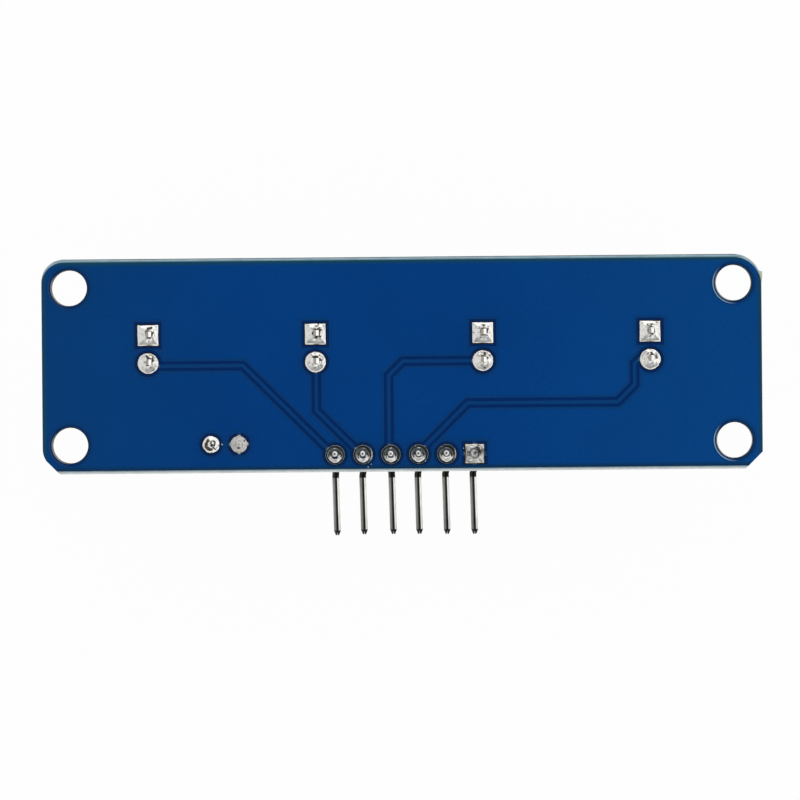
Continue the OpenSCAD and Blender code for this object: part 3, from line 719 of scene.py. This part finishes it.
# All the header's joints end in a round cap over the leg.
LEG_CAP = [(0.32, 1.0, 1.0), (0.28, 1.08, 1.0), (0.21, 1.13, 1.0), (0.14, 1.17, 1.0),
           (0.05, 1.175, 1.0)]
# On the header, the solder is drawn together into a mound, with a flat ring of tin round it.
PIN_RINGS = [(1.0, 0.025), (0.985, 0.038), (0.96, 0.04), (0.90, 0.038), (0.82, 0.036),
             (0.75, 0.04), (0.73, 0.07), (0.67, 0.13), (0.60, 0.195), (0.53, 0.26), (0.46, 0.33),
             (0.40, 0.395), (0.36, 0.5), (0.345, 0.75)] + LEG_CAP
# The header's square pad is filled to its rim, and the solder turns round as it climbs.
SQUARE_PIN_RINGS = [(1.0, 0.02), (0.97, 0.04), (0.93, 0.06), (0.88, 0.085), (0.82, 0.115, 0.05),
                    (0.74, 0.15, 0.15), (0.66, 0.19, 0.3), (0.58, 0.24, 0.5), (0.50, 0.30, 0.7),
                    (0.44, 0.36, 0.9), (0.41, 0.50, 0.9), (0.37, 0.78, 1.0)] + LEG_CAP


# %% Find the pads
def middles(values, parting):
    """Middles of the groups that the values fall into where gaps wider than parting split them."""
    values = sorted(values)
    groups = [[values[0]]]
    for value in values[1:]:
        if value - groups[-1][-1] > parting:
            groups.append([])
        groups[-1].append(value)
    return [(group[0] + group[-1]) / 2 for group in groups]


def pads_of(node_name):
    """Centres of the joints of a solder node, whose pads lie on a grid."""
    points = [v.co for v in nodes[node_name].data.vertices]
    columns = middles([p.x for p in points], parting=0.4 * MM)
    rows = middles([p.y for p in points], parting=0.3 * MM)
    return [(x, y) for y in rows for x in columns]


lamp_pads = pads_of("led_solder")
cap_pads = pads_of("capacitor_solder")
pin_pads = pads_of("header_solder")
print("pads found:", len(lamp_pads), len(cap_pads), len(pin_pads))


# %% Stains and painted shade
def nearest(place, places):
    return min(places, key=lambda c: (c[0] - place[0]) ** 2 + (c[1] - place[1]) ** 2)


def write_stain_and_shade(piece, centres, darkness):
    """Writes each point's darkness, from how far right and up of the nearest centre it is, in mm."""
    values = []
    for point in piece.data.vertices:
        x, y = nearest(point.co, centres)
        values.append(darkness((point.co.x - x) / MM, (point.co.y - y) / MM))
    write_values(piece, "stain_and_shade", values)


def falling(value, start, end):
    """1 up to start, 0 from end on."""
    return min(1.0, max(0.0, (end - value) / (end - start)))


def flux_and_shade_round_lead(x, y):
    """A flux stain round a lamp's lead, made darker up and right of it as painted shade."""
    uphill = 0.75 + 0.35 * (0.85 * y + 0.5 * x) / max(0.001, math.hypot(x, y))
    return 0.75 * uphill * falling(math.hypot(x, 0.8 * y), 0.25, 0.7)


def painted_dark_bands(x, y):
    """Painted dark reflections: a crescent on the left, a curl on the right and a streak between
    them.
    """
    r = math.hypot(x, y)
    crescent = falling(abs(r - 0.44), 0.08, 0.2) * falling(x + 0.35 * y, -0.12, 0.1)
    curl = falling(abs(math.hypot(x - 0.2, y - 0.14) - 0.2), 0.03, 0.12) * falling(-x - y, -0.1, 0.1)
    streak = falling(abs(0.75 * x + y + 0.12), 0.03, 0.1) * falling(abs(x - 0.25), 0.2, 0.35)
    return 0.95 * max(crescent, 0.8 * curl, 0.9 * streak)


def rusty_spots(x, y):
    """Dull all over, with a dark spot below the middle and a smaller one up on the right."""
    return 0.2 + 0.5 * max(falling(math.hypot(x + 0.02, y + 0.3), 0.08, 0.2),
                           falling(math.hypot(x - 0.5, y - 0.3), 0.04, 0.14))


def painted_shade_on_flanks(x, y):
    """Painted shade: the near side of a mound is left light, its flanks and far side are painted
    dark, and its top is left bright.
    """
    r = max(0.001, math.hypot(x, y))
    top = falling(math.hypot(x, y - 0.15), 0.2, 0.28)
    return (1.0 - top) * falling(r, 0.68, 0.72) * max(0.0, 0.12 + 0.5 * (1.1 * abs(x) + 0.8 * y) / r)


def dross_on_square(x, y):
    """Grey all over, and darkest towards the upper right."""
    return 0.32 + 0.32 * falling(math.hypot(x - 0.42, y - 0.3), 0.2, 0.6)


# %% Beads and rolls of solder
def bead(place, radius, flatness=0.5):
    """A small bead of solder, half sunk in what it sits on."""
    clear_selection()
    bpy.ops.mesh.primitive_uv_sphere_add(segments=16, ring_count=8, radius=radius,
                                         location=(*place, mask_high.z))
    piece = bpy.context.object
    bpy.ops.transform.resize(value=(1, 1, flatness))
    apply_place(piece)
    return piece


def crescent(centre, radius, thickness, start, end):
    """A roll of solder along part of a pad's rim, thinning out to both ends."""
    steps, thinning = 6, 0.86
    x, y = centre
    clear_selection()
    bpy.ops.mesh.primitive_torus_add(location=(x, y, foil_top + 0.03 * MM), major_segments=96,
                                     minor_segments=4, major_radius=radius, minor_radius=thickness)
    piece = bpy.context.object
    bpy.ops.transform.resize(value=(1, 1, 0.7))
    apply_place(piece)
    span = math.radians(end - start) / 2
    middle = math.radians(start + end) / 2

    def off_axis(p):
        return math.remainder(math.atan2(p.y - y, p.x - x) - middle, 2 * math.pi)

    pick(piece, "FACE", lambda p: abs(off_axis(p)) > span)
    bpy.ops.mesh.delete(type="FACE")
    enter("OBJECT")
    for part in range(steps):
        edge = span * (part + 0.5) / steps
        pick(piece, "VERT", lambda p: abs(off_axis(p)) > edge)
        resize_about((x, y, foil_top), 1, 1, thinning)
        enter("OBJECT")
    return piece


def bare_ring(piece, level, material):
    """Gives what lies lower than level above the foil a smoother tin, darkened and tinted blue as a
    painted reflection.
    """
    piece.data.materials.append(material)
    for face in piece.data.polygons:
        face.material_index = 1 if face.center.z < foil_top + level else 0


# %% Finish a joint
def finish_joints(pieces, name, node_name, roughen, lump_size, material, stain_and_shade, calm=None):
    """Joins the pieces, then makes them lumpy and round, and writes their stains and painted shade.

    Lumps are up to roughen mm high and about lump_size mm wide. They are kept off what lies less
    than calm above the foil.
    """
    still = 0.05
    piece = join_all(pieces, name)
    close_and_turn_out(piece)
    lumps = bpy.data.textures.new(name + " lumps", "CLOUDS")
    lumps.noise_scale = lump_size * MM
    lumps.noise_depth = 2
    modifier = piece.modifiers.new("lumps", "DISPLACE")
    modifier.texture = lumps
    modifier.texture_coords = "LOCAL"
    modifier.strength = roughen * MM
    modifier.mid_level = 0.5
    if calm:
        lumpy = piece.vertex_groups.new(name="lumpy")
        for point in piece.data.vertices:
            weight = 1.0 if point.co.z > foil_top + calm else still
            lumpy.add([point.index], weight, "REPLACE")
        modifier.vertex_group = "lumpy"
    subsurf = piece.modifiers.new("round", "SUBSURF")
    subsurf.levels = subsurf.render_levels = 1
    select_only(piece)
    for m in ("lumps", "round"):
        bpy.ops.object.modifier_apply(modifier=m)
    smooth_with_edges(piece, 60)
    write_stain_and_shade(piece, *stain_and_shade)
    piece.data.materials.append(material)
    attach(piece, "root")
    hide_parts(node_name)
    print(name, "faces:", len(piece.data.polygons))
    return piece


# %% Find the lead ends
def mean(values):
    return sum(values) / len(values)


lead_ends = []
for k in range(1, 5):
    for pole in ("anode", "cathode"):
        points = [v.co for v in nodes[f"led_{pole}_{k}"].data.vertices if v.co.z > 0.5 * MM]
        lead_ends.append((mean([p.x for p in points]), mean([p.y for p in points])))
        print(pole, k, "ends at", [round(v / MM, 3) for v in lead_ends[-1]], "mm")

# %% Lamp joints
# Widths of the solder on the pads: the lamps', the capacitor's, the header's and its square one
LAMP_PAD, CAP_PAD, PIN_PAD, SQUARE_PAD = 1.9 * MM, 1.55 * MM, 1.75 * MM, 1.72 * MM
near_row, far_row = sorted({round(y, 6) for _, y in lamp_pads})
lamp_joints = []
for i, pad in enumerate(lamp_pads):
    end = nearest(pad, lead_ends)
    lean = ((end[0] - pad[0]) / MM, (end[1] - pad[1]) / MM)
    square = pad[1] > (near_row + far_row) / 2
    lamp_joints.append(solder_joint(f"lamp joint {i}", pad, LAMP_PAD, square, LAMP_RINGS,
                                    lean=lean, seed=i))
# The stain round each lamp lead is partly flux and partly painted shade, darker up and right of the
# lead
finish_joints(lamp_joints, "lamp_joints", "led_solder", roughen=0.09, lump_size=0.3,
              material=solder_material, stain_and_shade=(lead_ends, flux_and_shade_round_lead))

# %% Capacitor joints
# One has a splash beside it, the other one nubs round its rim, at these angles
NUB_ANGLES = (0.05, 1.5, 3.1, 4.75)
nub_reach = 0.74 * MM
x, y = cap_pads[0]
joint = solder_joint("capacitor joint 1", cap_pads[0], CAP_PAD, False, CAP_RINGS, seed=21)
splash = bead((x + 1.0 * MM, y), 0.07 * MM)
# Its dark bands are painted reflections
finish_joints([joint, splash], "capacitor_joint_1", "capacitor_solder", roughen=0.16,
              lump_size=0.5, material=solder_material, stain_and_shade=(cap_pads, painted_dark_bands))
x, y = cap_pads[1]
nubs = [bead((x + nub_reach * math.cos(a), y + nub_reach * math.sin(a)), 0.13 * MM)
        for a in NUB_ANGLES]
joint = solder_joint("capacitor joint 2", cap_pads[1], CAP_PAD, False, CAP_RINGS, seed=22)
finish_joints([joint] + nubs, "capacitor_joint_2", "capacitor_solder", roughen=0.1,
              lump_size=0.3, material=matte_solder_material, stain_and_shade=(cap_pads, rusty_spots))

# %% Header joints
# How much of its width each mound keeps near its foot
MOUND_SLIMNESS = (0.98, 0.76, 0.74, 0.84, 0.78)
# A roll of solder lies on some pads' rims: joint, thickness in mm, and where it starts and ends
ROLLS = ((1, 0.12, -65, 50), (1, 0.05, 95, 170), (2, 0.05, -60, -15), (2, 0.06, 95, 145),
         (3, 0.06, 80, 140), (4, 0.11, -50, 45), (4, 0.05, 100, 150))
# Small splashes of solder: joint, and place from its middle in mm
SPLASHES = ((1, 0.73, -0.87), (1, 0.46, -1.13), (5, -1.0, 0.5), (3, 0.6, -0.62))
roll_radius, splash_radius = 0.8 * MM, 0.06 * MM
rolls = [crescent(pin_pads[i], roll_radius, t * MM, start, end) for i, t, start, end in ROLLS]
splashes = [bead((pin_pads[i][0] + dx * MM, pin_pads[i][1] + dy * MM), splash_radius)
            for i, dx, dy in SPLASHES]
mounds = [
    solder_joint(f"header joint {i}", pad, PIN_PAD, False, PIN_RINGS, lean=(-0.04, -0.14),
                 slim=MOUND_SLIMNESS[i], sag=0.1, seed=40 + i)
    for i, pad in enumerate(pin_pads[:-1])
]
# The mounds' flanks and far sides are painted dark as shade
header_joints = finish_joints(mounds + rolls + splashes, "header_joints", "header_solder",
                              roughen=0.06, lump_size=0.3, material=dull_solder_material,
                              stain_and_shade=(pin_pads, painted_shade_on_flanks), calm=0.06 * MM)
bare_ring(header_joints, 0.046 * MM, reflection_tinted_tin_material)

# %% Square header joint
x, y = pin_pads[-1]
square_joint = solder_joint("square header joint", pin_pads[-1], SQUARE_PAD, True,
                            SQUARE_PIN_RINGS, lean=(0.0, 0.1), seed=46)
# The middles of its left and its right side are drawn in, by this many mm
mid_side = 0.6 * MM
for side, draw in ((-1, 0.08), (1, 0.03)):
    move_points(square_joint, lambda p: side * (p.x - x) > mid_side and abs(p.y - y) < mid_side,
                (-side * draw * MM, 0, 0))
finish_joints([square_joint], "square_header_joint", "header_solder", roughen=0.2,
              lump_size=0.28, material=dull_solder_material, stain_and_shade=(pin_pads, dross_on_square))

# %% [markdown]
# ## Header pins
# The pins are cut from square drawn wire: the faces are very slightly crowned and the corners are
# rounded, which breaks their reflection into stripes; their finish paints stripes of highlight and
# shade on them as well. One pin is drawn as a path: a small square is extruded down the leg, spun
# round the bend and extruded out to the tapered tip.

# %% Header pins
PINS, RUN_PARTS = 6, 8
pin_w, pin_pitch, pin_bend, pin_taper = 0.64 * MM, 2.54 * MM, 1.9 * MM, 0.45 * MM
pin_reach = 7.5 * MM
pin_run = pin_reach - pin_bend - pin_taper
pin_low, pin_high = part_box("header_pin_1")
last_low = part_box("header_pin_6")[0]
skew = math.atan2(last_low.y - pin_low.y, last_low.x - pin_low.x)
leg_top = pin_high.z - 0.32 * MM
run_z = pin_low.z + pin_w / 2
bend_z = run_z + pin_bend
# In mm: how far each run was pushed sideways when the pins were bent, how much each tip was
# trimmed, and how much further aside every tip lies than the bend
SIDEWAYS = (-0.047, -0.105, 0.027, -0.118, -0.12, -0.134)
TRIMS = (0.13, 0.17, 0.14, 0.10, 0.05, 0.0)
SPLAY = 0.06


def wire_outline():
    """A square with round corners and slightly crowned sides, at the top of the leg."""
    corner, crown = 0.16 * MM, 0.6
    clear_selection()
    bpy.ops.mesh.primitive_plane_add(size=pin_w, location=(0, 0, leg_top))
    pin = bpy.context.object
    apply_place(pin)
    enter("EDIT")
    select_mesh()
    bpy.ops.mesh.bevel(offset=corner, segments=5, affect="VERTICES")
    select_mesh()
    bpy.ops.mesh.delete(type="ONLY_FACE")
    bpy.ops.mesh.select_mode(type="EDGE")
    enter("OBJECT")
    for e in pin.data.edges:
        a, b = (pin.data.vertices[i].co for i in e.vertices)
        e.select = (a - b).length > pin_w * 0.3
    enter("EDIT")
    bpy.ops.mesh.subdivide(number_cuts=4)
    bpy.ops.mesh.select_mode(type="VERT")
    select_mesh()
    bpy.ops.transform.tosphere(value=crown)
    bpy.ops.mesh.edge_face_add()
    bpy.ops.mesh.flip_normals()
    enter("OBJECT")
    return pin


def model_pin():
    """Draws the outline down the leg, round the bend and out to the tip."""
    # Shares of the width at both ends and at the very tip, and the length of a rounded edge
    tip, last, blunt = 0.5, 0.9, 0.02 * MM
    pin = wire_outline()
    width = 2 * max(v.co.x for v in pin.data.vertices)
    enter("EDIT")
    select_mesh()
    resize_about((0, 0, 0), pin_w / width, pin_w / width, 1)
    resize_about((0, 0, 0), tip, tip, 1)
    extrude(0, 0, -pin_taper)
    resize_about((0, 0, 0), 1 / tip, 1 / tip, 1)
    extrude(0, 0, bend_z - leg_top + pin_taper)
    bpy.ops.mesh.spin(steps=12, angle=math.radians(90), center=(0, -pin_bend, bend_z),
                      axis=(1, 0, 0))
    for part in range(RUN_PARTS):
        extrude(0, -pin_run / RUN_PARTS, 0)
    extrude(0, -blunt, 0)
    extrude(0, 2 * blunt - pin_taper, 0)
    resize_about((0, 0, run_z), tip, 1, tip)
    extrude(0, -blunt, 0)
    resize_about((0, 0, run_z), last, 1, last)
    enter("OBJECT")
    close_and_turn_out(pin)
    write_values(pin, "across", [p.co.x * 2 / pin_w for p in pin.data.vertices])
    write_values(pin, "from_tip", [p.co.y + pin_reach for p in pin.data.vertices])
    return pin


def bend_aside(pin, amount, splay, trim):
    """Pushes a pin aside at two places in its bend, then more and more towards its trimmed tip."""
    for start in (0.6, 0.95):
        move_points(pin, lambda p: p.y < -pin_bend * start and p.z < bend_z, (amount / 2, 0, 0))
    for part in range(RUN_PARTS):
        start = pin_bend + (part + 0.5) * pin_run / RUN_PARTS
        move_points(pin, lambda p: p.y < -start, (splay / RUN_PARTS, 0, 0))
    move_points(pin, lambda p: p.y < -(pin_reach - pin_taper - 0.1 * MM), (0, trim, 0))


first_pin = model_pin()
for j in range(PINS):
    select_only(first_pin)
    bpy.ops.object.duplicate(linked=False)
    pin = bpy.context.object
    pin.name = pin.data.name = f"pin_{j + 1}"
    bend_aside(pin, SIDEWAYS[j] * MM, SPLAY * MM, TRIMS[j] * MM)
    along_row = (j - (PINS - 1) / 2) * pin_pitch
    pin.location = (row_x + along_row * math.cos(skew), row_y + along_row * math.sin(skew), 0)
    pin.rotation_euler = (0, 0, skew)
    apply_place(pin)
    smooth_with_edges(pin, 14)
    pin.data.materials.append(pin_material)
    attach(pin, "root")
    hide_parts(f"header_pin_{j + 1}")
bpy.data.objects.remove(first_pin)
print(PINS, "pins, turned by", round(math.degrees(skew), 2), "degrees")

# %% [markdown]
# ## Floor, lights and camera
# The module lies on a plain white table. The camera looks straight down, so flat faces mirror
# whatever hangs above it, and that part of the room is left dark to keep the blue deep. Two soft
# boxes, on the right and on the far side, light the slopes of the solder.

# %% Floor
floor_z = cad_low.z - 0.01 * MM
clear_selection()
bpy.ops.mesh.primitive_plane_add(size=4.0, location=(0, 0, floor_z))
floor = bpy.context.object
floor.name = "floor"
floor_material = bpy.data.materials.new("white table")
floor_material.use_nodes = True
# The camera and whatever mirrors the table see it glow evenly; other light meets matte white
EVEN_SHARE = 0.97
table = Nodes(floor_material.node_tree)
table.nodes.clear()
ray = table.add("LightPath").outputs
seen = table.math("MAXIMUM", ray["Is Camera Ray"], ray["Is Glossy Ray"])
matte = table.add("BsdfDiffuse", color=(0.93, 0.93, 0.93, 1))
table.show_mix("OutputMaterial", table.times(seen, EVEN_SHARE), matte, table.add("Emission"))
floor.data.materials.append(floor_material)
print("floor at", round(floor_z / MM, 3), "mm")


# %% Lights
def soft_box(name, toward, elevation, distance, width, height, radiance):
    """An area light that faces the board. Its strength is given as the brightness it shows."""
    a, e = math.radians(toward), math.radians(elevation)
    place = Vector((math.cos(a) * math.cos(e), math.sin(a) * math.cos(e), math.sin(e))) * distance
    light = bpy.data.lights.new(name, "AREA")
    light.shape = "RECTANGLE"
    light.size, light.size_y = width, height
    light.energy = radiance * math.pi * width * height
    lamp = bpy.data.objects.new(name, light)
    lamp.location = place
    lamp.rotation_mode = "QUATERNION"
    lamp.rotation_quaternion = place.to_track_quat("Z", "Y")
    bpy.context.scene.collection.objects.link(lamp)
    solid_angle = width * height / distance ** 2
    level = radiance * solid_angle * math.sin(e) / math.pi
    print(name, "adds", round(level, 2), "of the plain level")


soft_box("right box", toward=0, elevation=48, distance=0.7, width=0.52, height=0.52, radiance=0.55)
soft_box("far box", toward=80, elevation=40, distance=0.7, width=0.5, height=0.25, radiance=1.0)

# %% [markdown]
# ## A light tent
# Bright metal shows its surroundings and little else. The world is therefore painted as a white
# tent: bright all round near the table, light on the left, greyer on the far side and the right,
# darkest in front, and nearly black overhead, where the camera looks through a hole.

# %% World
world = bpy.data.worlds.new("light tent")
bpy.context.scene.world = world
world.use_nodes = True
sky = Nodes(world.node_tree)
sky.nodes.clear()
direction = sky.add("SeparateXYZ")
sky.link(sky.add("TexCoord").outputs["Generated"], direction.inputs[0])


def panel(axis, start, end, brightness):
    """Its brightness rises as the direction's part along the axis goes from start to end."""
    return sky.ramp(direction.outputs[axis], start, end, 0.0, brightness)


# Near the table the tent is brightest, and on every side but the left that reaches higher up
tent = sky.times(panel("Z", 0.60, 0.42, 1.25), panel("X", -0.6, -0.3, 1.0))
# The other walls: axis, where each one starts and is full, and its brightness
WALLS = (
    ("Z", 0.30, 0.12, 1.25),  # all round
    ("X", 0.36, 0.5, 0.5),  # right
    ("X", 0.05, -0.65, 0.85),  # left
    ("Y", -0.25, -0.6, 0.44),  # near side
    ("Y", 0.3, 0.62, 0.65),  # far side
)
OVERHEAD = 0.03
for wall in WALLS:
    tent = sky.math("MAXIMUM", tent, panel(*wall))
WHITE = (1, 1, 1, 1)
painted, plain = (sky.add("Background", color=WHITE) for _ in range(2))
sky.link(sky.math("ADD", tent, OVERHEAD), painted.inputs["Strength"])
sky.show_mix("OutputWorld", sky.add("LightPath").outputs["Is Camera Ray"], painted, plain)
print("the tent has", len(WALLS), "walls")

# %% Camera
camera_height = 640 * MM
frame_width = 72.83 * MM
sensor_width = 36.0
aim_x, aim_y = -0.21 * MM, -3.27 * MM
turn = math.radians(-0.4975)
camera_data = bpy.data.cameras.new("camera")
camera_data.sensor_width = sensor_width
camera_data.lens = sensor_width * camera_height / frame_width
camera_data.clip_start, camera_data.clip_end = 0.01, 10.0
camera = bpy.data.objects.new("camera", camera_data)
camera.location = (aim_x, aim_y, camera_height)
camera.rotation_euler = (0, 0, turn)
bpy.context.scene.collection.objects.link(camera)
bpy.context.scene.camera = camera
bpy.context.scene.view_settings.view_transform = "Standard"
print("lens", round(camera_data.lens, 1), "mm")
